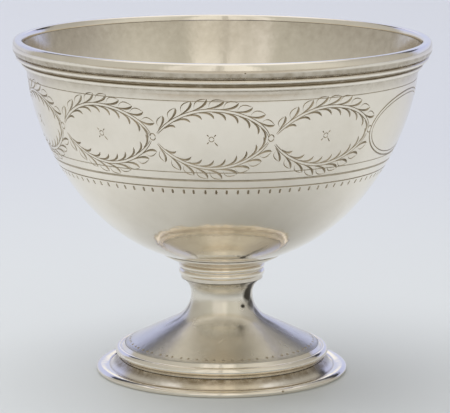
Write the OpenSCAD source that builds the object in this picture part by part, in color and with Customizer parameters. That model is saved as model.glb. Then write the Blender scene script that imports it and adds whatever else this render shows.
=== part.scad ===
// A footed open salt cellar in silver: a spun bowl with reeded rim wires,
// standing on a hollow trumpet foot with a stepped base.
// Millimetres. The origin is the middle of the underside of the foot, +Z up.

/* [Bowl] */
// Outside radius of the bowl just under the rim wires
bowl_r = 29.9; // [24:0.1:40]
// Height of the bowl from its lowest point to the rim wires
bowl_h = 30.3; // [22:0.5:42]
// How upright the side of the bowl stands (2 is an ellipse)
bowl_side_power = 1.57; // [1.4:0.01:2.2]
// How full the belly of the bowl is (2 is an ellipse)
bowl_belly_power = 2.27; // [1.8:0.01:2.6]
// Wall of the bowl
bowl_wall = 0.9; // [0.6:0.05:1.4]

/* [Rim] */
// Height of the flared edge that carries the rim wires
rim_h = 3.45; // [3:0.1:5]
// How far the edge flares outwards over that height
rim_flare = 1.1; // [0.4:0.05:1.6]
// Height of the lower reed wire
lower_reed_h = 1; // [0.6:0.05:1.1]
// How far the lower reed wire stands out
lower_reed_out = 0.55; // [0.2:0.05:0.8]
// Height of the upper reed wire
upper_reed_h = 1.1; // [0.6:0.05:1.2]
// How far the upper reed wire stands out
upper_reed_out = 1.05; // [0.3:0.05:1.3]
// How far the lip wire stands out from the flared edge
lip_out = 1; // [0.6:0.05:1.6]
// Height of the lip wire above the edge of the bowl
lip_over = 0.85; // [0.5:0.05:1.4]
// Width of the flat top of the lip wire
lip_top_w = 0.5; // [0.2:0.05:1]

/* [Turned lines] */
// Width of a line cut round the bowl
line_w = 0.3; // [0.15:0.05:0.5]
// Depth of a line cut round the bowl
line_d = 0.14; // [0.08:0.02:0.3]
// Distance of the frieze's top line below the rim wires
frieze_top = 1.3; // [0.8:0.1:3]
// Height of the frieze between its top line and its first lower line
frieze_h = 10.9; // [7:0.1:14]
// Distance from the first lower line to the next
line_gap = 1.23; // [0.8:0.05:2]

/* [Collar] */
// Height of the collar between the stem and the bowl's lowest point
collar_h = 2.6; // [2.4:0.05:3.2]
// Radius of the collar's body behind its rings
collar_core_r = 5.9; // [5:0.1:7]
// How far the collar's top edge, which meets the bowl, stands out from its body
collar_top_out = 3.1; // [2:0.1:3.6]
// Thickness of that top edge
collar_edge_h = 0.2; // [0.1:0.05:0.4]
// How far the collar stands out just above its rings
collar_lip_out = 0.85; // [0.5:0.05:1.2]
// Height of the plain band under the rings
collar_band_h = 0.45; // [0.3:0.05:0.6]
// How far the plain band stands out
collar_band_out = 0.4; // [0.2:0.05:0.6]
// Height of the lower ring
lower_ring_h = 1.1; // [0.6:0.05:1.2]
// Height of the upper ring
upper_ring_h = 0.9; // [0.4:0.05:1]
// How far the two rings stand out from the collar
ring_out = 0.7; // [0.4:0.05:1.2]
// Depth of the spigot that centres the collar in the stem
spigot_h = 1; // [0.5:0.1:2]

/* [Pedestal] */
// Radius of the neck, the narrowest place of the stem
neck_r = 4.75; // [3.5:0.05:6]
// Height of the neck above the edge of the pedestal
neck_rise = 7.8; // [6:0.1:12]
// Radius of the stem's top under the collar
stem_top_r = 6.3; // [5.8:0.1:7]
// Height of the stem's top above the neck
stem_top_rise = 2.5; // [2.4:0.1:5]
// Slope of the pedestal near its edge in degrees
skirt_slope = 26; // [14:1:28]
// Wall of the pedestal
pedestal_wall = 0.8; // [0.5:0.05:1.2]

/* [Foot] */
// Outside radius of the step, which the pedestal and the base ring follow
step_r = 16.5; // [13.5:0.1:20]
// Width of the step's slope outside the pedestal
step_slope_w = 1.5; // [1.2:0.1:2]
// Height of the step above the base ring
step_h = 2.2; // [1.9:0.1:3]
// How far the top of the step's rounded edge lies below the pedestal
step_drop_h = 0.45; // [0.3:0.05:0.6]
// Height of the hollow under the step's edge
cove_h = 0.45; // [0.4:0.05:0.9]
// Depth of that hollow
cove_d = 0.7; // [0.3:0.05:1]
// Width of the step from its edge to its inside
step_w = 2.8; // [2.4:0.1:4]
// How far the base ring stands out beyond the step
base_out = 3; // [2.4:0.1:3.6]
// Width of the base ring from its edge to its inside
base_w = 4.9; // [4.5:0.1:6]
// Height of the base ring
base_h = 2; // [1.6:0.1:2.8]
// Height of the base ring's rounded edge
base_edge_h = 0.95; // [0.6:0.05:1.3]
// Width of the rounded edge, from the base ring's outside to the crease in its slope
base_edge_w = 2.1; // [1.6:0.1:2.4]
// Width of the flat between the step and the base ring's slope
base_flat_w = 0.2; // [0.1:0.05:0.4]

/* [Fits] */
// Solder gap between pieces
solder_gap = 0.05; // [0.02:0.01:0.15]

/* [Hidden] */

round_fn = 180;
curve_steps = 30;
arc_steps = 14;
bead_steps = 10;
right_angle = 90;
// How far past its top a rounded edge turns before the slope meets it in a crease
crease_turn = 35;
half_turn = 180;
cut_over = 0.4;

// Shares of the size that each follows
bead_power_share = 0.8;
reed_start_share = 0.04;
lip_round_share = 0.6;
edge_foot_share = 0.26;
edge_middle_share = 0.47;

// Radii of the collar, all from its body
collar_top_r = collar_core_r + collar_top_out;
collar_lip_r = collar_core_r + collar_lip_out;
collar_band_r = collar_core_r + collar_band_out;

// Radii of the foot, all from the step's edge
skirt_r = step_r - step_slope_w;
step_bore_r = step_r - step_w;
base_r = step_r + base_out;
base_bore_r = base_r - base_w;

// Heights, from the table up
skirt_z = base_h + step_h;
neck_z = skirt_z + neck_rise;
stem_top_z = neck_z + stem_top_rise;
ring_z = stem_top_z + solder_gap + collar_band_h;
bowl_z = stem_top_z + solder_gap + collar_h;
rim_z = bowl_z + bowl_h;
edge_z = rim_z + rim_h;
lower_reed_z = rim_z + (rim_h - lower_reed_h - upper_reed_h) * reed_start_share;
upper_reed_z = lower_reed_z + lower_reed_h;
lip_z = upper_reed_z + upper_reed_h;

// The outside of the bowl at a depth below the rim wires
function bowl_curve_r(depth, r, h) =
    r * pow(1 - pow(min(depth / h, 1), bowl_side_power), 1 / bowl_belly_power);

// The height of the bowl's outside at a distance from the axis
function bowl_curve_z(r) =
    rim_z - bowl_h * pow(1 - pow(r / bowl_r, bowl_belly_power), 1 / bowl_side_power);

// Points of half the bowl's section, from the middle of its bottom up to the rim
function bowl_curve(r, h) = [
    for (i = [0 : curve_steps])
        let (t = i / curve_steps * right_angle)
        let (depth = h * pow(cos(t), 2 / bowl_side_power))
        [i == 0 ? 0 : bowl_curve_r(depth, r, h), rim_z - depth]
];

// The outside of the flared edge at a height, where the wires sit
function seat_r(z) = bowl_r + rim_flare * (z - rim_z) / rim_h;

// A point on a rounded bead: t runs from -90 at its foot to 90 at its top
function bead_out(t, out) = out * pow(max(cos(t), 0), bead_power_share);

// An arc as points, about a centre, from one angle to another
function arc(centre, r, from, to) = [
    for (i = [0 : arc_steps])
        let (a = from + (to - from) * i / arc_steps)
        centre + r * [cos(a), sin(a)]
];

module turned() {
    rotate_extrude($fn = round_fn) children();
}

// A cut with a pointed bottom, round the bowl at one height
module turned_line(z) {
    r = bowl_curve_r(rim_z - z, bowl_r, bowl_h);
    r_up = bowl_curve_r(rim_z - z - line_w, bowl_r, bowl_h);
    lean = atan2(r_up - r, line_w);
    turned()
        translate([r, z])
            rotate(-lean)
                polygon([
                    [-line_d, 0],
                    [cut_over, (line_w / 2) * (cut_over + line_d) / line_d],
                    [cut_over, -(line_w / 2) * (cut_over + line_d) / line_d]
                ]);
}

line_zs = [
    rim_z - frieze_top,
    rim_z - frieze_top - frieze_h,
    rim_z - frieze_top - frieze_h - line_gap,
    rim_z - frieze_top - frieze_h - 2 * line_gap
];

module bowl() {
    edge_top = edge_z - solder_gap;
    color("silver")
        difference() {
            turned()
                polygon(concat(
                    bowl_curve(bowl_r, bowl_h),
                    [[seat_r(edge_top), edge_top], [seat_r(edge_top) - bowl_wall, edge_top]],
                    reverse_points(bowl_curve(bowl_r - bowl_wall, bowl_h - bowl_wall))
                ));
            for (z = line_zs)
                turned_line(z);
        }
}

function reverse_points(points) = [for (i = [len(points) - 1 : -1 : 0]) points[i]];

// A half-round wire soldered on the flared edge, between two heights
module rim_bead(z, h, out) {
    bottom = z + solder_gap / 2;
    top = z + h - solder_gap / 2;
    turned()
        polygon(concat(
            [
                for (i = [0 : bead_steps])
                    let (t = (2 * i / bead_steps - 1) * right_angle)
                    let (at = (bottom + top) / 2 + (top - bottom) / 2 * sin(t))
                    [seat_r(at) + solder_gap + bead_out(t, out), at]
            ]
        ));
}

module lower_reed_wire() {
    color("gainsboro") rim_bead(lower_reed_z, lower_reed_h, lower_reed_out);
}

module upper_reed_wire() {
    color("lightgray") rim_bead(upper_reed_z, upper_reed_h, upper_reed_out);
}

// The broad wire that wraps the edge of the bowl: rounded outside, a flat top, rounded inside
module lip_wire() {
    bottom = lip_z + solder_gap / 2;
    top = edge_z + lip_over;
    outer_r = seat_r(edge_z) + lip_out;
    inner_r = seat_r(edge_z) - bowl_wall;
    top_outer_r = outer_r - lip_out * lip_round_share;
    top_inner_r = top_outer_r - lip_top_w;
    color("whitesmoke")
        turned()
            polygon(concat(
                [[seat_r(bottom) + solder_gap, bottom]],
                [
                    for (i = [0 : bead_steps])
                        let (t = (2 * i / bead_steps - 1) * right_angle)
                        [top_outer_r + bead_out(t, outer_r - top_outer_r),
                         (bottom + top) / 2 + (top - bottom) / 2 * sin(t)]
                ],
                [
                    for (i = [0 : bead_steps])
                        let (t = i / bead_steps * right_angle)
                        [top_inner_r - (top_inner_r - inner_r) * sin(t),
                         edge_z + lip_over * cos(t)]
                ],
                [[seat_r(edge_z) + solder_gap, edge_z]]
            ));
}

// Solid piece between stem and bowl: its top is dished to the bowl, its spigot enters the stem
module collar() {
    spigot_z = stem_top_z - spigot_h;
    spigot_r = stem_bore_r(spigot_z) - solder_gap;
    lip_low_z = ring_z + lower_ring_h + upper_ring_h;
    top_edge_z = bowl_curve_z(collar_top_r) - solder_gap - collar_edge_h;
    color("darkgray")
        difference() {
            turned()
                polygon([
                    [0, spigot_z],
                    [spigot_r, spigot_z],
                    [spigot_r, stem_top_z + solder_gap],
                    [collar_band_r, stem_top_z + solder_gap],
                    [collar_band_r, ring_z],
                    [collar_core_r, ring_z],
                    [collar_core_r, lip_low_z],
                    [collar_lip_r, lip_low_z],
                    [collar_top_r, top_edge_z],
                    [collar_top_r, bowl_z + collar_h],
                    [0, bowl_z + collar_h]
                ]);
            translate([0, 0, -solder_gap])
                turned()
                    polygon(concat(bowl_curve(bowl_r, bowl_h), [[0, rim_z]]));
        }
}

// A half-round ring soldered round the collar
module collar_bead(z, h) {
    bottom = z + solder_gap / 2;
    top = z + h - solder_gap / 2;
    turned()
        polygon([
            for (i = [0 : bead_steps])
                let (t = (2 * i / bead_steps - 1) * right_angle)
                [collar_core_r + solder_gap + bead_out(t, ring_out),
                 (bottom + top) / 2 + (top - bottom) / 2 * sin(t)]
        ]);
}

module lower_collar_ring() {
    color("gainsboro") collar_bead(ring_z, lower_ring_h);
}

module upper_collar_ring() {
    color("lightgray") collar_bead(ring_z + lower_ring_h, upper_ring_h);
}

// The pedestal's section: a hollow curve above the neck, one below it, and a straight skirt
top_lean = stem_top_r - neck_r;
top_arc_r = (stem_top_rise * stem_top_rise + top_lean * top_lean) / (2 * top_lean);
flare_r = (neck_rise - tan(skirt_slope) * (skirt_r - neck_r))
    / (cos(skirt_slope) - tan(skirt_slope) * (1 - sin(skirt_slope)));

// Inside radius of the stem at a height between the neck and its top
function stem_bore_r(z) =
    neck_r + top_arc_r - sqrt(pow(top_arc_r + pedestal_wall, 2) - pow(z - neck_z, 2));

function pedestal_side(in) = concat(
    arc(
        [neck_r + top_arc_r, neck_z],
        top_arc_r + in,
        half_turn - asin(stem_top_rise / (top_arc_r + in)),
        half_turn
    ),
    arc(
        [neck_r + flare_r, neck_z],
        flare_r + in,
        half_turn,
        half_turn + right_angle - skirt_slope
    )
);

module pedestal() {
    color("lightsteelblue")
        turned()
            polygon(concat(
                pedestal_side(0),
                [
                    [skirt_r, skirt_z],
                    [skirt_r, skirt_z - pedestal_wall / cos(skirt_slope)]
                ],
                reverse_points(pedestal_side(pedestal_wall))
            ));
}

// The moulding round the pedestal's edge: it slopes on, turns over and is hollowed below
module foot_step() {
    bottom = base_h + solder_gap;
    inner_r = skirt_r + solder_gap;
    ledge_z = skirt_z - pedestal_wall / cos(skirt_slope) - solder_gap;
    slope_z = skirt_z - step_drop_h;
    edge_round = (slope_z - base_h - cove_h) / 2;
    color("silver")
        turned()
            polygon(concat(
                [
                    [step_bore_r, bottom],
                    [step_r - cove_d, bottom],
                    [step_r - cove_d, base_h + cove_h / 2]
                ],
                arc([step_r - edge_round, slope_z - edge_round], edge_round,
                    -right_angle, right_angle + crease_turn),
                [
                    [inner_r, skirt_z],
                    [inner_r, ledge_z],
                    [step_bore_r, ledge_z]
                ]
            ));
}

// The ring that the salt cellar stands on: it slopes down from the step to a crease and a rounded edge
module base_ring() {
    edge_half_w = base_edge_w / (1 + cos(crease_turn));
    edge_foot = edge_half_w * edge_foot_share;
    edge_z_middle = base_edge_h * edge_middle_share;
    color("gainsboro")
        turned()
            polygon(concat(
                [[base_bore_r, 0]],
                [
                    for (i = [0 : bead_steps])
                        let (t = (i / bead_steps - 1) * right_angle)
                        [base_r - edge_foot + edge_foot * cos(t), edge_z_middle * (1 + sin(t))]
                ],
                [
                    for (i = [1 : arc_steps])
                        let (t = i / arc_steps * (half_turn - crease_turn))
                        [base_r - edge_half_w + edge_half_w * cos(t),
                         edge_z_middle + (base_edge_h - edge_z_middle) * sin(t)]
                ],
                [
                    [step_r - cove_d + base_flat_w, base_h],
                    [base_bore_r, base_h]
                ]
            ));
}

bowl();
lip_wire();
upper_reed_wire();
lower_reed_wire();
collar();
upper_collar_ring();
lower_collar_ring();
pedestal();
foot_step();
base_ring();
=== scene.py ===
import math
import random

import bmesh
import bpy
from mathutils import Matrix, Vector


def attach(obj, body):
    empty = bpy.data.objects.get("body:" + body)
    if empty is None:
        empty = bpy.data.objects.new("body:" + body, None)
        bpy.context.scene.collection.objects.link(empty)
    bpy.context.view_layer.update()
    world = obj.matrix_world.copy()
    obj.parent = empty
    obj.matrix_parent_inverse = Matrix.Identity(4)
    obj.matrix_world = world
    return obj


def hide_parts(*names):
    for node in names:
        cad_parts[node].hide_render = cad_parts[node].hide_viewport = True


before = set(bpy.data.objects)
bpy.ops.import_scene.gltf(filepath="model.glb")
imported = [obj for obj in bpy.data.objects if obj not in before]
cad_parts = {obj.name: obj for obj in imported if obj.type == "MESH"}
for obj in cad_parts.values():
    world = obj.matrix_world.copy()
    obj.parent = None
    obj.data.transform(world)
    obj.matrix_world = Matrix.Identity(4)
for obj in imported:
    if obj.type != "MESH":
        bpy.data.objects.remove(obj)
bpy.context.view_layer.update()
print("salt cellar: the CAD frame is loaded")

mm = 0.001
roundSteps = 288      # steps of every full turn
solderGap = 0.05
chance = random.Random(11)

# Heights from the table up, in millimetres
baseH = 2.0
skirtZ = baseH + 2.2
neckZ = skirtZ + 7.8
stemTopZ = neckZ + 2.5
bowlZ = stemTopZ + solderGap + 2.6
rimZ = bowlZ + 30.3
edgeZ = rimZ + 3.45


# The camera stands where the photograph was taken from

cameraView = {
    "lens": 216.0,
    "sensor": 36.0,
    "side": 0.463,
    "distance": 416.8,
    "elevation": 10.5,
    "aimHeight": 25.49,
    "roll": 0.15,
}


def makeCamera(view):
    data = bpy.data.cameras.new("photoCamera")
    data.lens = view["lens"]
    data.sensor_width = view["sensor"]
    data.sensor_fit = "HORIZONTAL"
    data.clip_start = 0.01
    data.clip_end = 20
    camera = bpy.data.objects.new("photoCamera", data)
    bpy.context.scene.collection.objects.link(camera)
    tilt = math.radians(view["elevation"])
    aim = Vector((view["side"], 0, view["aimHeight"])) * mm
    back = Vector((0, -math.cos(tilt), math.sin(tilt)))
    turn = (-back).to_track_quat("-Z", "Y").to_matrix()
    turn = turn @ Matrix.Rotation(math.radians(view["roll"]), 3, "Z")
    camera.matrix_world = Matrix.Translation(aim + back * view["distance"] * mm) @ turn.to_4x4()
    bpy.context.scene.camera = camera


makeCamera(cameraView)


# Shader node helpers

def addNode(tree, kind, place, **values):
    node = tree.nodes.new(kind)
    node.location = place
    for name, value in values.items():
        setattr(node, name, value)
    return node


def feed(tree, source, target):
    tree.links.new(source, target)


def setRamp(node, stops):
    ramp = node.color_ramp
    while len(ramp.elements) < len(stops):
        ramp.elements.new(0.5)
    for element, (position, colour) in zip(ramp.elements, stops):
        element.position = position
        element.color = (*colour, 1)


def mathNode(tree, place, operation, *values):
    node = addNode(tree, "ShaderNodeMath", place, operation=operation)
    for socket, value in zip(node.inputs, values):
        if isinstance(value, (int, float)):
            socket.default_value = value
        else:
            feed(tree, value, socket)
    return node.outputs[0]


def mixColours(tree, place, factor, first, second):
    node = addNode(tree, "ShaderNodeMix", place, data_type="RGBA")
    for index, value in ((0, factor), (6, first), (7, second)):
        if isinstance(value, bpy.types.NodeSocket):
            feed(tree, value, node.inputs[index])
        else:
            node.inputs[index].default_value = value
    return node.outputs[2]


def makeGroup(name, inputs, outputs):
    group = bpy.data.node_groups.new(name, "ShaderNodeTree")
    for label, kind, value in inputs:
        socket = group.interface.new_socket(label, in_out="INPUT", socket_type=kind)
        socket.default_value = value
    for label, kind in outputs:
        group.interface.new_socket(label, in_out="OUTPUT", socket_type=kind)
    start = addNode(group, "NodeGroupInput", (-900, 0))
    end = addNode(group, "NodeGroupOutput", (900, 0))
    return group, start.outputs, end.inputs


# Worn silver: cloudy tone, turning marks and fine scratches, with painted shade mixed in where a piece's
# painted-shade attribute asks for it

def makeSilverWearAndShade():
    group, given, out = makeGroup(
        "silverWearAndShade",
        [
            ("Bright", "NodeSocketColor", (0.95, 0.885, 0.785, 1)),
            ("Cloudy", "NodeSocketColor", (0.84, 0.775, 0.67, 1)),
            ("ShadeColour", "NodeSocketColor", (0.30, 0.24, 0.16, 1)),
            ("PaintedShade", "NodeSocketFloat", 0.0),
            ("Polish", "NodeSocketFloat", 0.1),
            ("Cloud Size", "NodeSocketFloat", 60.0),
            ("Scratches", "NodeSocketFloat", 1.0),
        ],
        [
            ("Color", "NodeSocketColor"),
            ("Roughness", "NodeSocketFloat"),
            ("Height", "NodeSocketFloat"),
        ],
    )
    place = addNode(group, "ShaderNodeTexCoord", (-1100, -300))

    cloud = addNode(group, "ShaderNodeTexNoise", (-700, 300))
    cloud.inputs["Detail"].default_value = 5
    cloud.inputs["Roughness"].default_value = 0.66
    feed(group, place.outputs["Object"], cloud.inputs["Vector"])
    feed(group, given["Cloud Size"], cloud.inputs["Scale"])
    cloudMask = addNode(group, "ShaderNodeMapRange", (-500, 300), clamp=True)
    cloudMask.inputs["From Min"].default_value = 0.42
    cloudMask.inputs["From Max"].default_value = 0.72
    feed(group, cloud.outputs["Fac"], cloudMask.inputs["Value"])

    stretch = addNode(group, "ShaderNodeMapping", (-900, -300))
    stretch.inputs["Scale"].default_value = (60, 60, 5200)
    turning = addNode(group, "ShaderNodeTexNoise", (-700, -100))
    turning.inputs["Scale"].default_value = 1
    turning.inputs["Detail"].default_value = 2
    feed(group, place.outputs["Object"], stretch.inputs["Vector"])
    feed(group, stretch.outputs["Vector"], turning.inputs["Vector"])

    bend = addNode(group, "ShaderNodeTexNoise", (-900, -600))
    bend.inputs["Scale"].default_value = 140
    bent = addNode(group, "ShaderNodeVectorMath", (-750, -450), operation="MULTIPLY_ADD")
    bent.inputs[1].default_value = (0.012, 0.012, 0.012)
    feed(group, place.outputs["Object"], bend.inputs["Vector"])
    feed(group, bend.outputs["Color"], bent.inputs[0])
    feed(group, place.outputs["Object"], bent.inputs[2])
    lines = addNode(group, "ShaderNodeTexVoronoi", (-600, -450), feature="DISTANCE_TO_EDGE")
    lines.inputs["Scale"].default_value = 120
    feed(group, bent.outputs[0], lines.inputs["Vector"])
    scratch = addNode(group, "ShaderNodeMapRange", (-400, -450), clamp=True)
    scratch.inputs["From Min"].default_value = 0.0
    scratch.inputs["From Max"].default_value = 0.02
    scratch.inputs["To Min"].default_value = 1
    scratch.inputs["To Max"].default_value = 0
    feed(group, lines.outputs["Distance"], scratch.inputs["Value"])
    patches = addNode(group, "ShaderNodeTexNoise", (-600, -700))
    patches.inputs["Scale"].default_value = 330
    feed(group, place.outputs["Object"], patches.inputs["Vector"])
    broken = mathNode(group, (-200, -550), "GREATER_THAN", patches.outputs["Fac"], 0.6)
    scratchMask = mathNode(group, (-50, -450), "MULTIPLY", scratch.outputs["Result"], broken)
    scratchMask = mathNode(group, (100, -450), "MULTIPLY", scratchMask, given["Scratches"])

    # Noise that makes the painted shade patchy
    shadeNoise = addNode(group, "ShaderNodeTexNoise", (-700, 600))
    shadeNoise.inputs["Scale"].default_value = 900
    shadeNoise.inputs["Detail"].default_value = 3
    feed(group, place.outputs["Object"], shadeNoise.inputs["Vector"])
    patchy = mathNode(group, (-450, 600), "MULTIPLY_ADD", shadeNoise.outputs["Fac"], 0.9, 0.35)
    hollow = mathNode(group, (-250, 600), "MULTIPLY", patchy, given["PaintedShade"])

    tone = mixColours(group, (0, 300), cloudMask.outputs["Result"], given["Bright"], given["Cloudy"])
    tone = mixColours(group, (250, 300), hollow, tone, given["ShadeColour"])
    feed(group, tone, out["Color"])

    rough = mathNode(group, (0, 0), "MULTIPLY_ADD", cloudMask.outputs["Result"], 0.03, given["Polish"])
    rough = mathNode(group, (200, 0), "MULTIPLY_ADD", scratchMask, 0.07, rough)
    rough = mathNode(group, (400, 0), "MULTIPLY_ADD", hollow, 0.22, rough)
    feed(group, rough, out["Roughness"])

    height = mathNode(group, (350, -250), "MULTIPLY_ADD", turning.outputs["Fac"], 0.02, cloud.outputs["Fac"])
    height = mathNode(group, (500, -250), "MULTIPLY_ADD", scratchMask, -0.02, height)
    feed(group, height, out["Height"])
    return group


silverWearAndShade = makeSilverWearAndShade()


def makeSilver(name, values):
    material = bpy.data.materials.new(name)
    material.use_nodes = True
    tree = material.node_tree
    shader = tree.nodes["Principled BSDF"]
    shader.inputs["Metallic"].default_value = 1
    wearAndShade = addNode(tree, "ShaderNodeGroup", (-500, 0), node_tree=silverWearAndShade)
    for label, value in values["wearAndShade"].items():
        wearAndShade.inputs[label].default_value = value
    # The painted shade and painted dark reflections of each piece come from its point attribute
    hollow = addNode(tree, "ShaderNodeAttribute", (-750, 0), attribute_name="hollow")
    feed(tree, hollow.outputs["Fac"], wearAndShade.inputs["PaintedShade"])
    bump = addNode(tree, "ShaderNodeBump", (-250, -250))
    bump.inputs["Distance"].default_value = values["bumpDepth"] * mm
    feed(tree, wearAndShade.outputs["Height"], bump.inputs["Height"])
    feed(tree, wearAndShade.outputs["Color"], shader.inputs["Base Color"])
    feed(tree, wearAndShade.outputs["Roughness"], shader.inputs["Roughness"])
    feed(tree, bump.outputs["Normal"], shader.inputs["Normal"])
    return material


polishedSilver = makeSilver("polishedSilver", {
    "wearAndShade": {"Polish": 0.09, "Cloud Size": 60.0, "Scratches": 1.0},
    "bumpDepth": 0.12,
})
# Rougher silver for the pedestal: its darker tone is painted shade for the pedestal under the bowl, and its
# near-black shade colour paints shade and dark reflections
softShadedSilver = makeSilver("softShadedSilver", {
    "wearAndShade": {
        "Bright": (0.90, 0.85, 0.755, 1),
        "Cloudy": (0.77, 0.72, 0.63, 1),
        "ShadeColour": (0.08, 0.07, 0.055, 1),
        "Polish": 0.23,
        "Cloud Size": 90.0,
        "Scratches": 1.0,
    },
    "bumpDepth": 0.12,
})
drawnSilver = makeSilver("drawnSilver", {
    "wearAndShade": {"Polish": 0.13, "Cloud Size": 120.0, "Scratches": 0.6},
    "bumpDepth": 0.05,
})
engravedSilver = makeSilver("engravedSilver", {
    "wearAndShade": {
        "Bright": (0.50, 0.43, 0.33, 1),
        "Cloudy": (0.36, 0.31, 0.23, 1),
        "Polish": 0.34,
        "Cloud Size": 700.0,
        "Scratches": 0.0,
    },
    "bumpDepth": 0.02,
})
print("salt cellar: materials made")


# Sections and spinning

def arcPoints(centre, radius, start, end, count):
    points = []
    for i in range(count + 1):
        angle = math.radians(start + (end - start) * i / count)
        points.append((centre[0] + radius * math.cos(angle), centre[1] + radius * math.sin(angle)))
    return points


def beadPoints(seat, low, high, out, count=20, power=0.8, least=0.0):
    # least: how far the bead's low and high sides stand out, as a share of its crest
    points = []
    for i in range(count + 1):
        turn = math.radians(-90 + 180 * i / count)
        z = (low + high) / 2 + (high - low) / 2 * math.sin(turn)
        points.append((seat(z) + out * max(math.cos(turn) ** power if i % count else 0, least), z))
    if least > 0:
        points = [(seat(low), low)] + points + [(seat(high), high)]
    return points


def meshFrom(name, bm):
    mesh = bpy.data.meshes.new(name)
    bm.to_mesh(mesh)
    bm.free()
    return mesh


def linkObject(name, mesh):
    piece = bpy.data.objects.new(name, mesh)
    bpy.context.scene.collection.objects.link(piece)
    return piece


def spinSection(section, steps=roundSteps):
    bm = bmesh.new()
    corners = [bm.verts.new((r * mm, 0, z * mm)) for r, z in section]
    pairs = zip(corners, corners[1:] + corners[:1])
    edges = [bm.edges.new(pair) for pair in pairs if pair[0].co.x > 0 or pair[1].co.x > 0]
    bmesh.ops.spin(
        bm, geom=corners + edges, cent=(0, 0, 0), axis=(0, 0, 1),
        angle=math.tau, steps=steps, use_merge=True,
    )
    bmesh.ops.remove_doubles(bm, verts=bm.verts, dist=1e-7)
    bmesh.ops.recalc_face_normals(bm, faces=bm.faces)
    return bm


def shadeSmooth(mesh, sharpest):
    for face in mesh.polygons:
        face.use_smooth = True
    mesh.set_sharp_from_angle(angle=math.radians(sharpest))


# Writes painted shade into a point attribute, by a rule of radius and height
def paintShade(mesh, rule):
    layer = mesh.attributes.new("hollow", "FLOAT", "POINT")
    for vertex, value in zip(mesh.vertices, layer.data):
        value.value = rule(math.hypot(vertex.co.x, vertex.co.y) / mm, vertex.co.z / mm)


def paintDarkReflections(mesh, darkReflections):
    # Each painted dark reflection: azimuth from the front in degrees, height, half its width and height,
    # strength
    core, edge = 0.5, 1.1
    layer = mesh.attributes["hollow"]
    for vertex, value in zip(mesh.vertices, layer.data):
        around = math.degrees(math.atan2(vertex.co.x, -vertex.co.y))
        for azimuth, z, halfWidth, halfHeight, strength in darkReflections:
            far = math.hypot((around - azimuth) / halfWidth, (vertex.co.z / mm - z) / halfHeight)
            value.value = max(value.value, strength * fade(far, core, edge))


def finishPiece(piece, node, materials):
    for material in materials:
        piece.data.materials.append(material)
    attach(piece, "root")
    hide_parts(node)


def makeTurned(name, node, material, section, hollow, sharpest=32):
    mesh = meshFrom(name, spinSection(section))
    shadeSmooth(mesh, sharpest)
    paintShade(mesh, hollow)
    piece = linkObject(name, mesh)
    finishPiece(piece, node, [material])
    return piece


def fade(value, full, none):
    return min(max((none - value) / (none - full), 0), 1)


# The bowl's shell, with its turned lines in the section

bowl = {
    "radius": 29.9,
    "height": 30.3,
    "sidePower": 1.57,
    "bellyPower": 2.27,
    "wall": 0.9,
    "flare": 1.1,
    "insideFlare": 5.0,   # height of the straight flare at the top of the inside
    "edgeWall": 0.6,
    "outerSteps": 46,
    "innerSteps": 34,
    "lines": [            # height, width and depth of each turned line
        (46.15, 0.13, 0.03),
        (35.28, 0.15, 0.035),
        (34.02, 0.34, 0.07),
        (32.79, 0.20, 0.08),
    ],
}


def bowlRadius(depth, radius=bowl["radius"], height=bowl["height"]):
    share = min(max(depth / height, 0), 1)
    return radius * (1 - share ** bowl["sidePower"]) ** (1 / bowl["bellyPower"])


def seatRadius(z):
    return bowl["radius"] + bowl["flare"] * (z - rimZ) / (edgeZ - rimZ)


def bowlSection():
    section = []
    for i in range(bowl["outerSteps"] + 1):
        turn = i / bowl["outerSteps"] * math.pi / 2
        depth = bowl["height"] * max(math.cos(turn), 0) ** (2 / bowl["sidePower"])
        z = rimZ - depth
        if any(abs(z - at) < width * 0.8 for at, width, cut in bowl["lines"]):
            continue
        section.append((0 if i == 0 else bowlRadius(depth), z))
    for at, width, cut in bowl["lines"]:
        for z, inwards in ((at - width / 2, 0), (at, cut), (at + width / 2, 0)):
            section.append((bowlRadius(rimZ - z) - inwards, z))
    section.sort(key=lambda point: point[1])
    top = edgeZ - solderGap
    section += [(seatRadius(top), top), (seatRadius(top) - bowl["edgeWall"], top)]
    inner = []
    innerR, innerH = bowl["radius"] - bowl["wall"], bowl["height"] - bowl["wall"]
    for i in range(bowl["innerSteps"] + 1):
        turn = i / bowl["innerSteps"] * math.pi / 2
        depth = innerH * max(math.cos(turn), 0) ** (2 / bowl["sidePower"])
        if depth < bowl["insideFlare"]:
            continue
        inner.append((0 if i == 0 else bowlRadius(depth, innerR, innerH), rimZ - depth))
    return section + inner[::-1]


def bowlNormal(z):
    step = 0.02
    slope = (bowlRadius(rimZ - z - step) - bowlRadius(rimZ - z + step)) / (2 * step)
    size = math.hypot(1, slope)
    return 1 / size, -slope / size


def onBowl(azimuth, z, out):
    outwards, upwards = bowlNormal(z)
    r = bowlRadius(rimZ - z) + outwards * out
    angle = math.radians(azimuth)
    return Vector((r * math.sin(angle), -r * math.cos(angle), z + upwards * out)) * mm


# Engraving: every stroke is a wedge that follows a path on the bowl and is cut out of it

graver = {
    "over": 0.04,          # how far a cutter stands out of the silver
    "degreesPerMm": 2.0,   # round the frieze, at its middle height
    "depthShare": 0.42,    # depth of a cut as a share of its width
    "frameZ": 40.4,
    "smoothFrom": 3.0,     # the smooth normals start this far above the bowl's bottom
    "groups": (            # strokes cut in one go: those of one group don't meet
        "stems", "stemsBack", "leavesOdd", "leavesEven", "outlinesOdd", "outlinesEven",
        "inner", "innerBack", "rosettes", "ovals", "ovalsBack", "dashes",
    ),
}


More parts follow.
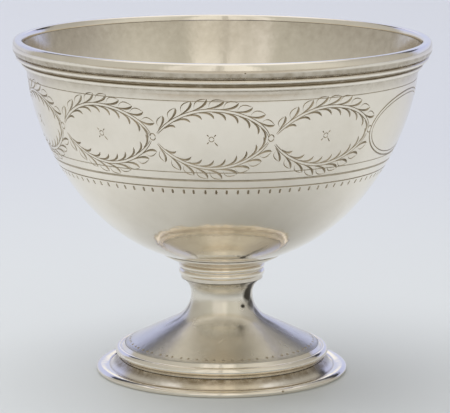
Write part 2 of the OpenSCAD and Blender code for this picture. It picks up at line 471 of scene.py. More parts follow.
def makeStrokeTemplate(sections):
    bm = bmesh.new()
    corners = [bm.verts.new(place) for place in ((0, 0, 0), (0, 1, 1), (0, -1, 1))]
    face = bm.faces.new(corners)
    for i in range(sections):
        made = bmesh.ops.extrude_face_region(bm, geom=[face], use_keep_orig=True)["geom"]
        moved = [part for part in made if isinstance(part, bmesh.types.BMVert)]
        bmesh.ops.translate(bm, verts=moved, vec=(1 / sections, 0, 0))
        if i > 0:
            bmesh.ops.delete(bm, geom=[face], context="FACES_ONLY")
        face = [part for part in made if isinstance(part, bmesh.types.BMFace)][0]
    bmesh.ops.recalc_face_normals(bm, faces=bm.faces)
    return meshFrom("stroke", bm)


strokeTemplates = {count: makeStrokeTemplate(count) for count in (2, 6, 10, 44)}


def addStroke(bm, sections, azimuth, path, width, swell):
    before = len(bm.verts)
    bm.from_mesh(strokeTemplates[sections])
    bm.verts.ensure_lookup_table()
    step = 0.004
    for vertex in bm.verts[before:]:
        t, side, level = vertex.co
        x, z = path(t)
        x0, z0 = path(max(t - step, 0))
        x1, z1 = path(min(t + step, 1))
        length = math.hypot(x1 - x0, z1 - z0)
        half = width / 2 * swell(t)
        depth = 2 * half * graver["depthShare"]
        out = graver["over"] if level > 0.5 else -depth
        reach = side * half * (1 + graver["over"] / depth)
        x += -(z1 - z0) / length * reach
        z += (x1 - x0) / length * reach
        vertex.co = onBowl(azimuth + x * graver["degreesPerMm"], z, out)


def quadratic(start, middle, end):
    def path(t):
        a, b, c = (1 - t) ** 2, 2 * t * (1 - t), t * t
        return tuple(a * start[k] + b * middle[k] + c * end[k] for k in (0, 1))
    return path


def leafSwell(t):
    return max(math.sin(math.pi * t ** 1.4) ** 0.7, 0.12) if 0 < t < 1 else 0.12


def strokeSwell(t):
    # Thin where it leaves the stem, thickest near its tip
    return 0.35 + 0.65 * math.sin(math.pi * t ** 1.6) ** 0.8 if 0 < t < 0.97 else 0.2


def evenSwell(t):
    return 1.0 if 0.02 < t < 0.98 else 0.5


wreath = {
    "first": -72.4,      # azimuth of the leftmost wreath
    "pitch": 34.7,
    "halfWidth": 8.45,
    "upperRise": 4.45,
    "lowerRise": 4.4,
    "leftPowers": (0.84, 0.74),     # how pointed the upper and lower branches start
    "rightPowers": (0.62, 0.72),    # and end
    "leafSpacing": 1.93,
    "leafRange": (1.5, 1.9),        # clear of the branch's start and end
    "leafLength": 2.75,
    "leafLean": 24.5,
    "leafWidth": 0.37,
    "leafUnder": (0.78, 0.04),      # bends of a leaf's strokes, along and off the stem
    "leafOver": (0.2, 0.62),
    "outlineStart": (0.4, 0.22),
    "outlineWidth": 0.17,
    "innerRange": (2.3, 2.0),
    "innerLength": 2.15,
    "innerWidth": 0.34,
    "innerBend": (0.86, 0.02),
    "innerTip": (0.9, 0.56),
    "stemRange": (0.9, 0.45),
    "stemWidth": 0.13,
    "stemHalf": 0.2,
    "jitter": 0.07,
}


def branchPath(side):
    rise = wreath["upperRise"] if side > 0 else wreath["lowerRise"]

    def place(u):
        u = min(max(u, -1), 1)
        power = wreath["leftPowers" if u < 0 else "rightPowers"][0 if side > 0 else 1]
        height = rise * max(1 - u * u, 0) ** power
        return u * wreath["halfWidth"], graver["frameZ"] + side * height

    count = 400
    points = [place(-math.cos(math.pi * (i / count))) for i in range(count + 1)]
    lengths = [0.0]
    for first, second in zip(points, points[1:]):
        lengths.append(lengths[-1] + math.dist(first, second))

    def atLength(s):
        s = min(max(s, 0), lengths[-1])
        low = max(i for i, value in enumerate(lengths) if value <= s + 1e-9)
        low = min(low, count - 1)
        share = (s - lengths[low]) / (lengths[low + 1] - lengths[low])
        return tuple(points[low][k] + share * (points[low + 1][k] - points[low][k]) for k in (0, 1))

    return atLength, lengths[-1]


def branchAt(atLength, s, off):
    x0, z0 = atLength(s - 0.15)
    x1, z1 = atLength(s + 0.15)
    length = math.hypot(x1 - x0, z1 - z0)
    along = ((x1 - x0) / length, (z1 - z0) / length)
    x, z = atLength(s)
    return (x - along[1] * off, z + along[0] * off), along


def stepFrom(point, along, forward, left):
    return (
        point[0] + along[0] * forward - along[1] * left,
        point[1] + along[1] * forward + along[0] * left,
    )


def jitter():
    return chance.uniform(-1, 1) * wreath["jitter"]


def swept(start, along, share, size, side):
    # A point of a stroke, placed along and off the stem by shares of its length
    return stepFrom(start, along, size * share[0], side * size * share[1])


def engraveStems(cuts, azimuth, atLength, total):
    for off in (-wreath["stemHalf"], wreath["stemHalf"]):
        first, last = wreath["stemRange"][0], total - wreath["stemRange"][1]

        def stem(t, off=off, first=first, last=last):
            pinch = min(1, 4 * min(t, 1 - t) + 0.5)
            return branchAt(atLength, first + (last - first) * t, off * pinch)[0]

        group = cuts["stems" if off > 0 else "stemsBack"]
        addStroke(group, 44, azimuth, stem, wreath["stemWidth"], evenSwell)


def engraveBranch(cuts, azimuth, side):
    # Each stroke starts along the stem and sweeps off it, so the strokes draw the stem as well
    atLength, total = branchPath(side)
    engraveStems(cuts, azimuth, atLength, total)
    s = wreath["leafRange"][0]
    while s < total - wreath["leafRange"][1]:
        here = s + jitter()
        size = wreath["leafLength"] * (0.76 + 0.24 * math.sin(math.pi * s / total)) + jitter()
        lean = math.radians(wreath["leafLean"]) + jitter()
        start, along = branchAt(atLength, here, side * wreath["stemHalf"] * 1.25)
        tip = swept(start, along, (math.cos(lean), math.sin(lean)), size, side)
        turn = "Odd" if cuts["count"] % 2 else "Even"
        leaf = quadratic(start, swept(start, along, wreath["leafUnder"], size, side), tip)
        addStroke(cuts["leaves" + turn], 6, azimuth, leaf, wreath["leafWidth"], strokeSwell)
        begin = swept(start, along, wreath["outlineStart"], 1, side)
        outline = quadratic(begin, swept(start, along, wreath["leafOver"], size, side), tip)
        addStroke(cuts["outlines" + turn], 6, azimuth, outline, wreath["outlineWidth"], leafSwell)
        cuts["count"] += 1
        s += wreath["leafSpacing"]
    s = wreath["innerRange"][0]
    while s < total - wreath["innerRange"][1]:
        start, along = branchAt(atLength, s + jitter(), -side * wreath["stemHalf"] * 1.4)
        size = wreath["innerLength"] * min(1, 0.35 + s / 6, 0.35 + (total - s) / 4) + jitter()
        bend = swept(start, along, wreath["innerBend"], size, -side)
        tip = swept(start, along, wreath["innerTip"], size, -side)
        group = cuts["inner" if side > 0 else "innerBack"]
        addStroke(group, 6, azimuth, quadratic(start, bend, tip), wreath["innerWidth"], strokeSwell)
        s += wreath["leafSpacing"]


# The small star in each wreath's middle, and the round tie between two wreaths

rosette = {
    "lift": 0.1,
    "ringR": 0.36,
    "ringWidth": 0.13,
    "rayFrom": 0.5,
    "rayTo": 1.05,
    "longRayTo": 1.45,
    "rayWidth": 0.2,
    "squeeze": 0.9,
}
tie = {"out": 0.2, "lift": 0.2, "halfWidth": 0.42, "halfHeight": 0.5, "width": 0.17}


def engraveRing(cuts, azimuth, centre, halves, gap, width):
    for half in (0, 1):
        def ring(t, half=half):
            angle = math.pi * (half + gap + (1 - 2 * gap) * t)
            return centre[0] + halves[0] * math.cos(angle), centre[1] + halves[1] * math.sin(angle)
        addStroke(cuts["rosettes"], 10, azimuth, ring, width, evenSwell)


def engraveRosette(cuts, azimuth):
    z = graver["frameZ"] + rosette["lift"]
    halves = (rosette["ringR"], rosette["ringR"])
    engraveRing(cuts, azimuth, (0, z), halves, 0.02, rosette["ringWidth"])
    near = rosette["rayFrom"]
    for quarter in range(4):
        angle = math.radians(45 + 90 * quarter)
        far = rosette["rayTo" if quarter < 3 else "longRayTo"]
        start = (near * math.cos(angle), z + near * math.sin(angle))
        end = (far * math.cos(angle) * rosette["squeeze"], z + far * math.sin(angle))
        middle = ((start[0] + end[0]) / 2, (start[1] + end[1]) / 2)
        ray = quadratic(start, middle, end)
        addStroke(cuts["rosettes"], 6, azimuth, ray, rosette["rayWidth"], leafSwell)


def engraveTie(cuts, azimuth):
    centre = (wreath["halfWidth"] + tie["out"], graver["frameZ"] + tie["lift"])
    engraveRing(cuts, azimuth, centre, (tie["halfWidth"], tie["halfHeight"]), 0.03, tie["width"])


oval = {
    "azimuths": (69.9, 249.9),
    "halfWidth": 10.1,
    "halfHeight": 4.95,
    "inset": 0.55,
    "width": 0.24,
}


def engraveOval(cuts, azimuth):
    for inset, width in ((0, oval["width"]), (oval["inset"], oval["width"] * 0.7)):
        for side in (1, -1):
            def curve(t, inset=inset, side=side):
                angle = math.pi * (1 - t)
                return (
                    (oval["halfWidth"] - inset) * math.cos(angle),
                    graver["frameZ"] + side * (oval["halfHeight"] - inset) * math.sin(angle),
                )
            group = cuts["ovals" if side > 0 else "ovalsBack"]
            addStroke(group, 44, azimuth, curve, width, evenSwell)


dashRow = {"count": 99, "low": 31.84, "middle": 32.1, "high": 32.5, "width": 0.42}


def dashSwell(t):
    return 1.0 if 0.2 < t < 0.8 else 0.7


def engraveDashes(cuts):
    for i in range(dashRow["count"]):
        azimuth = 360 / dashRow["count"] * (i + 0.45 + 0.06 * chance.uniform(-1, 1))
        path = quadratic((0, dashRow["low"]), (0, dashRow["middle"]), (0, dashRow["high"]))
        addStroke(cuts["dashes"], 2, azimuth, path, dashRow["width"], dashSwell)


def cutAway(piece, cutter):
    cutter.data.materials.append(polishedSilver)
    cutter.data.materials.append(engravedSilver)
    for face in cutter.data.polygons:
        face.material_index = 1
    modifier = piece.modifiers.new("engrave", "BOOLEAN")
    modifier.operation = "DIFFERENCE"
    modifier.solver = "EXACT"
    modifier.object = cutter
    modifier.material_mode = "INDEX"
    bpy.context.view_layer.update()
    graph = bpy.context.evaluated_depsgraph_get()
    mesh = bpy.data.meshes.new_from_object(piece.evaluated_get(graph))
    old = piece.data
    piece.modifiers.clear()
    piece.data = mesh
    bpy.data.meshes.remove(old)
    used = cutter.data
    bpy.data.objects.remove(cutter)
    bpy.data.meshes.remove(used)


def restoreNormals(mesh, normalAt):
    # The silver between the cuts keeps the smooth normals of the uncut surface
    normals = [(0.0, 0.0, 0.0)] * len(mesh.loops)
    for face in mesh.polygons:
        if face.material_index == 1:
            continue
        for index in face.loop_indices:
            point = mesh.vertices[mesh.loops[index].vertex_index].co / mm
            r = math.hypot(point.x, point.y)
            found = normalAt(r, point.z)
            if found:
                normals[index] = (point.x / r * found[0], point.y / r * found[0], found[1])
    mesh.normals_split_custom_set(normals)


def shellNormal(r, z):
    onShell = bowlZ + graver["smoothFrom"] < z < rimZ - solderGap and abs(r - bowlRadius(rimZ - z)) < 0.01
    return bowlNormal(z) if onShell else None


bowlShading = {"rim": 0.5, "rimReach": 1.7, "frieze": 0.08, "friezeHalf": (4.6, 6.2), "skin": 0.3}


def bowlShade(r, z):
    # Painted shade under the rim wires and a faint painted shade over the frieze, outside only
    if r < bowlRadius(rimZ - z) - bowlShading["skin"]:
        return 0.0
    frieze = bowlShading["frieze"] * fade(abs(z - graver["frameZ"]), *bowlShading["friezeHalf"])
    return max(bowlShading["rim"] * fade(rimZ - z, 0.0, bowlShading["rimReach"]), frieze)


def makeBowl():
    mesh = meshFrom("engravedBowl", spinSection(bowlSection()))
    piece = linkObject("engravedBowl", mesh)
    mesh.materials.append(polishedSilver)
    mesh.materials.append(engravedSilver)
    for face in mesh.polygons:
        z = face.center.z / mm
        outside = math.hypot(face.center.x, face.center.y) / mm > bowlRadius(rimZ - z) - bowl["wall"] / 2
        if outside and any(abs(z - at) < width / 2 for at, width, cut in bowl["lines"]):
            face.material_index = 1

    cuts = {name: bmesh.new() for name in graver["groups"]}
    cuts["count"] = 0
    centres = [wreath["first"] + wreath["pitch"] * i for i in range(4)]
    for azimuth in centres + [value + 180 for value in centres]:
        engraveBranch(cuts, azimuth, 1)
        engraveBranch(cuts, azimuth, -1)
        engraveRosette(cuts, azimuth)
        engraveTie(cuts, azimuth)
    for azimuth in oval["azimuths"]:
        engraveOval(cuts, azimuth)
    engraveDashes(cuts)
    for name in graver["groups"]:
        cutAway(piece, linkObject(name, meshFrom(name, cuts[name])))
        print("salt cellar: engraved", name, len(piece.data.polygons), "faces")

    mesh = piece.data
    shadeSmooth(mesh, 20)
    restoreNormals(mesh, shellNormal)
    paintShade(mesh, bowlShade)
    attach(piece, "root")
    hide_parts("bowl")


makeBowl()
print("salt cellar: bowl made")


# Rim wires: a broad lip over the bowl's edge and two reeds under it

rimWires = {
    "lowerReedH": 1.0,
    "lowerReedOut": 0.55,
    "upperReedH": 1.1,
    "upperReedOut": 1.05,
    "lipOut": 1.0,
    "lipOver": 0.85,
    "lipTop": 0.5,
    "lipRound": 0.6,
    "reedStart": 0.04,
    "reedSides": 0.62,           # how far a reed's sides stand out, as a share of its crest
    "reedShadeReach": (0.28, 0.13),   # from the crest, in shares of its height: painted shade full and none
    "lipShadeReach": (0.74, 0.9),     # from the lip's foot, in millimetres: painted shade full and none
    "lipShadeStrength": 0.8,
}
lowerReedZ = rimZ + (edgeZ - rimZ - rimWires["lowerReedH"] - rimWires["upperReedH"]) * rimWires["reedStart"]
upperReedZ = lowerReedZ + rimWires["lowerReedH"]
lipZ = upperReedZ + rimWires["upperReedH"]


def wireSeat(z):
    return seatRadius(z) + solderGap


def lipSection():
    low, high = lipZ + solderGap / 2, edgeZ + rimWires["lipOver"]
    outerR = seatRadius(edgeZ) + rimWires["lipOut"]
    innerR = seatRadius(edgeZ) - bowl["edgeWall"]
    topOuter = outerR - rimWires["lipOut"] * rimWires["lipRound"]
    topInner = topOuter - rimWires["lipTop"]
    section = [(wireSeat(low), low)]
    section += beadPoints(lambda z: topOuter, low, high, outerR - topOuter)
    steps = 12
    for i in range(steps + 1):
        turn = math.radians(90 * i / steps)
        r = topInner - (topInner - innerR) * math.sin(turn)
        section.append((r, edgeZ + rimWires["lipOver"] * math.cos(turn)))
    section.append((wireSeat(edgeZ), edgeZ))
    return section


def reedSection(low, height, out):
    low, high = low + solderGap / 2, low + height - solderGap / 2
    return beadPoints(wireSeat, low, high, out, least=rimWires["reedSides"])


# Painted shade on the lip's lower rounding, outside only
def lipShade(r, z):
    full, none = rimWires["lipShadeReach"]
    outside = r > seatRadius(z) - 0.2
    return fade(z, lipZ + full, lipZ + none) * rimWires["lipShadeStrength"] if outside else 0.0


def reedShade(low, height, above, below):
    # Painted shade on a reed's flanks: only the crest stays bright
    middle = low + height / 2
    full, none = rimWires["reedShadeReach"]

    def rule(r, z):
        return fade(abs(z - middle), height * full, height * none) * (above if z > middle else below)

    return rule


lipWire = makeTurned(
    "lipWire", "lip_wire", polishedSilver, lipSection(), lipShade,
)
makeTurned(
    "upperReedWire", "upper_reed_wire", drawnSilver,
    reedSection(upperReedZ, rimWires["upperReedH"], rimWires["upperReedOut"]),
    reedShade(upperReedZ, rimWires["upperReedH"], 0.8, 1.3),
)
makeTurned(
    "lowerReedWire", "lower_reed_wire", drawnSilver,
    reedSection(lowerReedZ, rimWires["lowerReedH"], rimWires["lowerReedOut"]),
    reedShade(lowerReedZ, rimWires["lowerReedH"], 1.4, 0.6),
)
print("salt cellar: rim wires made")


# Collar between the bowl and the stem, with its two rings

collar = {
    "coreR": 5.9,
    "topR": 9.0,
    "edgeH": 0.2,
    "lipR": 6.75,
    "bandH": 0.45,
    "bandR": 6.3,
    "lowerRingH": 1.1,
    "upperRingH": 0.9,
    "ringOut": 0.7,
    "ringSides": 0.6,      # how far a ring's sides stand out, as a share of its crest
    "spigot": 1.0,
}
pedestal = {
    "neckR": 4.75,
    "stemTopR": 6.3,
    "skirtR": 15.0,
    "coneR": 7.8,             # where the skirt's straight slope starts
    "bands": (9.5, 11.5, 13.4, 14.15),
    "slope": 26.0,
    "wall": 0.8,
    "darkReflections": (               # painted dark reflections: azimuth, height, half width, half height and strength of each
        (54, 14.0, 11, 0.9, 1.2),
        (57, 12.4, 15, 1.7, 1.6),
        (64, 10.7, 15, 1.2, 1.1),
        (41, 10.6, 6, 0.35, 1.3),
        (72, 9.2, 9, 1.2, 0.9),
        (73, 7.9, 7, 1.2, 0.8),
        (72, 6.7, 6, 0.9, 0.5),
        (-76, 9.6, 6, 1.5, 0.7),
        (-75, 8.0, 5, 1.0, 0.6),
    ),
}
topLean = pedestal["stemTopR"] - pedestal["neckR"]
stemTopRise = stemTopZ - neckZ
topArcR = (stemTopRise ** 2 + topLean ** 2) / (2 * topLean)
slope = math.radians(pedestal["slope"])
flareR = (neckZ - skirtZ - math.tan(slope) * (pedestal["skirtR"] - pedestal["neckR"])) / (
    math.cos(slope) - math.tan(slope) * (1 - math.sin(slope)))


def stemBoreR(z):
    return pedestal["neckR"] + topArcR - math.sqrt((topArcR + pedestal["wall"]) ** 2 - (z - neckZ) ** 2)


ringZ = stemTopZ + solderGap + collar["bandH"]


def collarSection():
    spigotZ = stemTopZ - collar["spigot"]
    spigotR = stemBoreR(spigotZ) - solderGap
    lipLow = ringZ + collar["lowerRingH"] + collar["upperRingH"]
    dished = []
    for i in range(25):
        r = collar["topR"] * (1 - i / 24)
        share = (1 - (r / bowl["radius"]) ** bowl["bellyPower"]) ** (1 / bowl["sidePower"])
        dished.append((r, rimZ - bowl["height"] * share - solderGap))
    return [
        (0, spigotZ),
        (spigotR, spigotZ),
        (spigotR, stemTopZ + solderGap),
        (collar["bandR"], stemTopZ + solderGap),
        (collar["bandR"], ringZ),
        (collar["coreR"], ringZ),
        (collar["coreR"], lipLow),
        (collar["lipR"] - 0.06, lipLow),
        (collar["lipR"], lipLow + 0.04),
        (collar["topR"], dished[0][1] - collar["edgeH"]),
    ] + dished


def ringSection(low, height):
    seat = collar["coreR"] + solderGap
    low, high = low + solderGap / 2, low + height - solderGap / 2
    return beadPoints(lambda z: seat, low, high, collar["ringOut"], least=collar["ringSides"])


# Painted shade over the whole collar under the bowl, darker on its core between the rings
def collarShade(r, z):
    return 0.32 + fade(r, 5.9, 6.4) * 0.15


# Painted shade on the rings' sides; the crests stay bright
def ringShade(r, z):
    return fade(r, 6.2, 6.55) * 0.15


makeTurned(
    "turnedCollar", "collar", drawnSilver, collarSection(), collarShade,
)
makeTurned(
    "lowerCollarRing", "lower_collar_ring", drawnSilver,
    ringSection(ringZ, collar["lowerRingH"]), ringShade,
)
makeTurned(
    "upperCollarRing", "upper_collar_ring", drawnSilver,
    ringSection(ringZ + collar["lowerRingH"], collar["upperRingH"]), ringShade,
)
print("salt cellar: collar made")


# Pedestal, step and base ring

def pedestalSide(inwards):
    upper = topArcR + inwards
    top = math.degrees(math.asin(stemTopRise / upper))
    points = arcPoints((pedestal["neckR"] + topArcR, neckZ), upper, 180 - top, 180, 14)
    lower = arcPoints((pedestal["neckR"] + flareR, neckZ), flareR + inwards, 180, 270 - pedestal["slope"], 22)
    return points + lower[1:]


def pedestalSection():
    wall = pedestal["wall"] / math.cos(slope)
    edge = 0.07
    bands = [(r, skirtZ + math.tan(slope) * (pedestal["skirtR"] - r)) for r in pedestal["bands"]]
    return pedestalSide(0) + bands + [
        (pedestal["skirtR"] - edge, skirtZ + math.tan(slope) * edge),
        (pedestal["skirtR"], skirtZ - edge),
        (pedestal["skirtR"], skirtZ - wall),
    ] + pedestalSide(pedestal["wall"])[::-1]


dotRow = {"count": 67, "radius": 14.25, "size": 0.23, "depth": 0.14}


def skirtNormal(r, z):
    height = skirtZ + math.tan(slope) * (pedestal["skirtR"] - r)
    onSkirt = pedestal["coneR"] < r < pedestal["skirtR"] - 0.1 and abs(z - height) < 0.003
    return (math.sin(slope), math.cos(slope)) if onSkirt else None


def pedestalShade(r, z):
    # Painted shade at both edges and down the top of the stem, and a faint painted shade all over
    edges = max(fade(stemTopZ - z, 0, 0.4), fade(pedestal["skirtR"] - r, 0, 0.25)) * 0.5
    return max(edges, fade(stemTopZ - z, 0.6, 2.4) * 0.25, 0.08)


def makePedestal():
    mesh = meshFrom("spunPedestal", spinSection(pedestalSection()))
    piece = linkObject("spunPedestal", mesh)
    mesh.materials.append(softShadedSilver)
    mesh.materials.append(engravedSilver)
    dotZ = skirtZ + math.tan(slope) * (pedestal["skirtR"] - dotRow["radius"])
    bm = bmesh.new()
    for i in range(dotRow["count"]):
        angle = math.tau * (i + 0.5) / dotRow["count"] + 0.02 * chance.uniform(-1, 1)
        made = bmesh.ops.create_cone(
            bm, cap_ends=True, segments=8, radius1=0.001 * mm, radius2=dotRow["size"] * 3 * mm,
            depth=dotRow["depth"] * 3 * mm,
        )["verts"]
        lift = dotRow["depth"] * 0.5 * mm
        stand = Matrix.Translation((dotRow["radius"] * mm, 0, dotZ * mm)) @ Matrix.Rotation(slope, 4, "Y")
        stand = Matrix.Rotation(angle, 4, "Z") @ stand @ Matrix.Translation((0, 0, lift))
        bmesh.ops.transform(bm, matrix=stand, verts=made)
    bmesh.ops.recalc_face_normals(bm, faces=bm.faces)
    cutAway(piece, linkObject("footDots", meshFrom("footDots", bm)))
    shadeSmooth(piece.data, 25)
    restoreNormals(piece.data, skirtNormal)
    paintShade(piece.data, pedestalShade)
    paintDarkReflections(piece.data, pedestal["darkReflections"])
    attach(piece, "root")
    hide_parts("pedestal")


makePedestal()

foot = {
    "stepR": 16.5,
    "stepW": 2.8,
    "stepDrop": 0.45,
    "coveH": 0.45,
    "coveD": 0.7,
    "baseOut": 3.0,
    "baseW": 4.9,
    "edgeH": 0.95,
    "edgeW": 2.1,
    "edgeFoot": 0.3,
    "flatW": 0.2,
    "creaseTurn": 35,      # how far past its top each rounded edge turns
    "edgeMiddle": 0.47,    # height of the base ring's widest point, as a share of its edge's
    "stepCreaseR": 15.72,
    "baseCreaseR": 17.4,
    "slopeSteps": 6,
}
baseR = foot["stepR"] + foot["baseOut"]


def stepSection():
    bottom = baseH + solderGap
    innerR = pedestal["skirtR"] + solderGap
    ledgeZ = skirtZ - pedestal["wall"] / math.cos(slope) - solderGap
    slopeZ = skirtZ - foot["stepDrop"]
    edge = (slopeZ - baseH - foot["coveH"]) / 2
    boreR = foot["stepR"] - foot["stepW"]
    soft = 0.07
    return [
        (boreR, bottom),
        (foot["stepR"] - foot["coveD"], bottom),
        (foot["stepR"] - foot["coveD"], baseH + foot["coveH"] / 2),
    ] + arcPoints((foot["stepR"] - edge, slopeZ - edge), edge, -90, 90 + foot["creaseTurn"], 22) + [
        (innerR + soft, skirtZ - soft * 0.8),
        (innerR, skirtZ - soft),
        (innerR, ledgeZ),
        (boreR, ledgeZ),
    ]


def baseSection():
    boreR = baseR - foot["baseW"]
    middle = foot["edgeH"] * foot["edgeMiddle"]
    halfW = foot["edgeW"] / (1 + math.cos(math.radians(foot["creaseTurn"])))
    low = arcPoints((0, 0), 1, -90, 0, 8)
    edge = [(baseR - foot["edgeFoot"] * (1 - x), middle * (1 + y)) for x, y in low]
    top = arcPoints((0, 0), 1, 0, 180 - foot["creaseTurn"], 20)[1:]
    edge += [(baseR - halfW * (1 - x), middle + (foot["edgeH"] - middle) * y) for x, y in top]
    flat = foot["stepR"] - foot["coveD"] + foot["flatW"]
    r, z = edge[-1]
    count = foot["slopeSteps"]
    rise = [(r + (flat - r) * i / count, z + (baseH - z) * i / count) for i in range(1, count)]
    return [(boreR, 0)] + edge + rise + [(flat, baseH), (boreR, baseH)]


# Painted shade in the cove under the step's rounded edge and along its crease
def stepShade(r, z):
    under = fade(z, baseH + 0.5, baseH + 0.62) * fade(foot["stepR"] - r, 1.2, 0.1)
    crease = fade(abs(r - foot["stepCreaseR"]), 0.0, 0.16) * 0.5 if z > baseH + 1 else 0.0
    return max(under, crease)


# Painted shade on the base ring's slope next to the step and along its crease
def baseShade(r, z):
    slopeShade = max(fade(r, 16.65, 17.0), fade(r, 17.1, 17.45) * 0.5)
    crease = fade(abs(r - foot["baseCreaseR"]), 0.0, 0.2) * 0.5
    return max(slopeShade * fade(baseH - z, 0.5, 1.3), crease)


makeTurned("footStep", "foot_step", polishedSilver, stepSection(), stepShade)
baseRing = makeTurned("baseRing", "base_ring", polishedSilver, baseSection(), baseShade)


def cutPits(piece, pits):
    # Small knocks in the silver: azimuth in degrees, radius, height and size of each
    bm = bmesh.new()
    for azimuth, r, z, size in pits:
        made = bmesh.ops.create_icosphere(bm, subdivisions=2, radius=size * mm)["verts"]
        angle = math.radians(azimuth)
        bmesh.ops.scale(bm, verts=made, vec=(1.3, 1, 0.8))
        place = Vector((r * math.sin(angle), -r * math.cos(angle), z)) * mm
        bmesh.ops.translate(bm, verts=made, vec=place)
    piece.data.materials.append(engravedSilver)
    cutAway(piece, linkObject("pits", meshFrom("pits", bm)))
    shadeSmooth(piece.data, 32)


lipR = seatRadius(edgeZ) + rimWires["lipOut"]
cutPits(lipWire, [(5.9, lipR + 0.03, lipZ + 0.87, 0.13)])
cutPits(baseRing, [(28.3, baseR + 0.02, 0.52, 0.2), (-71.0, 18.35, 1.0, 0.12)])
print("salt cellar: foot made")


# The stage: a pale floor, a soft light above and a pale room

stage = {
    "floorSize": 4.0,
    "floorColour": (0.665, 0.692, 0.712),
    "frontColour": (0.48, 0.44, 0.38),      # of the floor nearer than the camera sees
    "frontFrom": -0.11,
    "frontTo": -0.24,
    "backColour": (0.59, 0.61, 0.68),       # of the floor behind
    "backFrom": 0.0,
    "backTo": 0.25,
    "lampPower": 7.6,
    "lampSize": 1.25,
    "lampPlace": (-0.26, 0.26, 1.0),
    "room": [                 # colours round the room: 0.5 is in front, 0 and 1 are behind
        (0.00, (0.46, 0.45, 0.42)),
        (0.15, (0.46, 0.45, 0.42)),
        (0.25, (0.50, 0.49, 0.45)),
        (0.34, (0.53, 0.52, 0.47)),
        (0.405, (0.58, 0.57, 0.51)),
        (0.425, (0.84, 0.82, 0.77)),
        (0.455, (0.70, 0.68, 0.62)),
        (0.486, (0.90, 0.88, 0.82)),
        (0.494, (0.42, 0.40, 0.35)),
        (0.503, (0.84, 0.82, 0.75)),
        (0.545, (0.90, 0.88, 0.81)),
        (0.565, (0.56, 0.55, 0.49)),
        (0.60, (0.64, 0.63, 0.57)),
        (0.66, (0.68, 0.67, 0.61)),
        (0.75, (0.50, 0.49, 0.46)),
        (0.85, (0.42, 0.41, 0.38)),
        (1.00, (0.46, 0.45, 0.42)),
    ],
    "behind": [               # colours up the wall behind, by the sine of their height
        (0.00, (0.64, 0.66, 0.74)),
        (0.12, (0.62, 0.67, 0.86)),
        (0.26, (0.58, 0.64, 0.92)),
        (0.41, (0.55, 0.60, 0.90)),
        (0.455, (0.03, 0.035, 0.045)),
        (0.56, (0.06, 0.06, 0.075)),
        (0.62, (0.40, 0.40, 0.41)),
        (0.70, (0.45, 0.44, 0.42)),
        (0.80, (0.62, 0.62, 0.62)),
        (1.00, (0.96, 0.96, 0.96)),
    ],
    "above": (1.0, 1.0, 1.0, 1),        # the light overhead and the window behind
    "aboveLean": 0.25,                  # how much nearer the wall behind it comes down
    "aboveRange": (0.84, 0.93),
    "behindLean": 0.16,
    "behindRange": (0.55, 0.72),
    "windowSide": (0.17, 0.11),
    "windowFoot": (0.2, 0.3),
}


def shareBetween(tree, place, value, low, high):
    node = addNode(tree, "ShaderNodeMapRange", place, interpolation_type="SMOOTHSTEP")
    node.inputs["From Min"].default_value = low
    node.inputs["From Max"].default_value = high
    feed(tree, value, node.inputs["Value"])
    return node.outputs["Result"]


def makeFloor():
    bm = bmesh.new()
    bmesh.ops.create_grid(bm, x_segments=1, y_segments=1, size=stage["floorSize"] / 2)
    mesh = meshFrom("paleFloor", bm)
    floor = linkObject("paleFloor", mesh)
    material = bpy.data.materials.new("paleFloor")
    material.use_nodes = True
    tree = material.node_tree
    shader = tree.nodes["Principled BSDF"]
    shader.inputs["Roughness"].default_value = 0.45
    shader.inputs["Specular IOR Level"].default_value = 0.2
    place = addNode(tree, "ShaderNodeTexCoord", (-1100, 0))
    split = addNode(tree, "ShaderNodeSeparateXYZ", (-900, 0))
    feed(tree, place.outputs["Object"], split.inputs[0])
    front = shareBetween(tree, (-700, 100), split.outputs["Y"], stage["frontFrom"], stage["frontTo"])
    back = shareBetween(tree, (-700, -200), split.outputs["Y"], stage["backFrom"], stage["backTo"])
    tone = mixColours(tree, (-450, 0), front, (*stage["floorColour"], 1), (*stage["frontColour"], 1))
    tone = mixColours(tree, (-250, 0), back, tone, (*stage["backColour"], 1))
    feed(tree, tone, shader.inputs["Base Color"])
    mesh.materials.append(material)


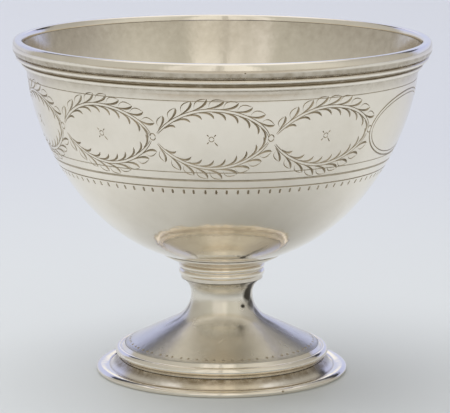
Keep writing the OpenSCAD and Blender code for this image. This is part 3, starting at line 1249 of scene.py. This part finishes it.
def makeWorld():
    world = bpy.data.worlds.new("paleRoom")
    bpy.context.scene.world = world
    world.use_nodes = True
    tree = world.node_tree
    background = tree.nodes["Background"]
    place = addNode(tree, "ShaderNodeTexCoord", (-1200, 0))
    split = addNode(tree, "ShaderNodeSeparateXYZ", (-1000, 0))
    feed(tree, place.outputs["Generated"], split.inputs[0])
    front = mathNode(tree, (-800, 100), "MULTIPLY", split.outputs["Y"], -1)
    around = mathNode(tree, (-600, 100), "ARCTAN2", split.outputs["X"], front)
    share = mathNode(tree, (-400, 100), "MULTIPLY_ADD", around, 1 / math.tau, 0.5)
    ramp = addNode(tree, "ShaderNodeValToRGB", (-200, 100))
    setRamp(ramp, stage["room"])
    feed(tree, share, ramp.inputs["Fac"])
    x, y, z = (split.outputs[axis] for axis in "XYZ")
    overhead = mathNode(tree, (-400, -600), "MULTIPLY_ADD", y, stage["aboveLean"], z)
    high = shareBetween(tree, (-400, -200), overhead, *stage["aboveRange"])
    tone = mixColours(tree, (100, 0), high, ramp.outputs["Color"], stage["above"])
    behind = addNode(tree, "ShaderNodeValToRGB", (-200, -400))
    setRamp(behind, stage["behind"])
    leaning = mathNode(tree, (-400, -400), "MULTIPLY_ADD", x, stage["behindLean"], z)
    feed(tree, leaning, behind.inputs["Fac"])
    back = shareBetween(tree, (-200, -700), y, *stage["behindRange"])
    tone = mixColours(tree, (300, 0), back, tone, behind.outputs["Color"])
    sideways = mathNode(tree, (-400, -900), "ABSOLUTE", x)
    narrow = shareBetween(tree, (-200, -900), sideways, *stage["windowSide"])
    raised = shareBetween(tree, (-200, -1100), z, *stage["windowFoot"])
    window = mathNode(tree, (0, -900), "MULTIPLY", narrow, raised)
    window = mathNode(tree, (150, -900), "MULTIPLY", window, back)
    tone = mixColours(tree, (500, 0), window, tone, stage["above"])
    feed(tree, tone, background.inputs["Color"])
    background.inputs["Strength"].default_value = 1.0


def makeLamp():
    data = bpy.data.lights.new("softLamp", "AREA")
    data.shape = "SQUARE"
    data.size = stage["lampSize"]
    data.energy = stage["lampPower"]
    lamp = bpy.data.objects.new("softLamp", data)
    bpy.context.scene.collection.objects.link(lamp)
    place = Vector(stage["lampPlace"])
    lamp.location = place
    lamp.visible_glossy = False   # the silver reflects the room alone
    lamp.rotation_euler = (Vector((0, 0, 0.02)) - place).to_track_quat("-Z", "Y").to_euler()


makeFloor()
makeWorld()
makeLamp()
bpy.context.scene.view_settings.view_transform = "Standard"
print("salt cellar: stage made")
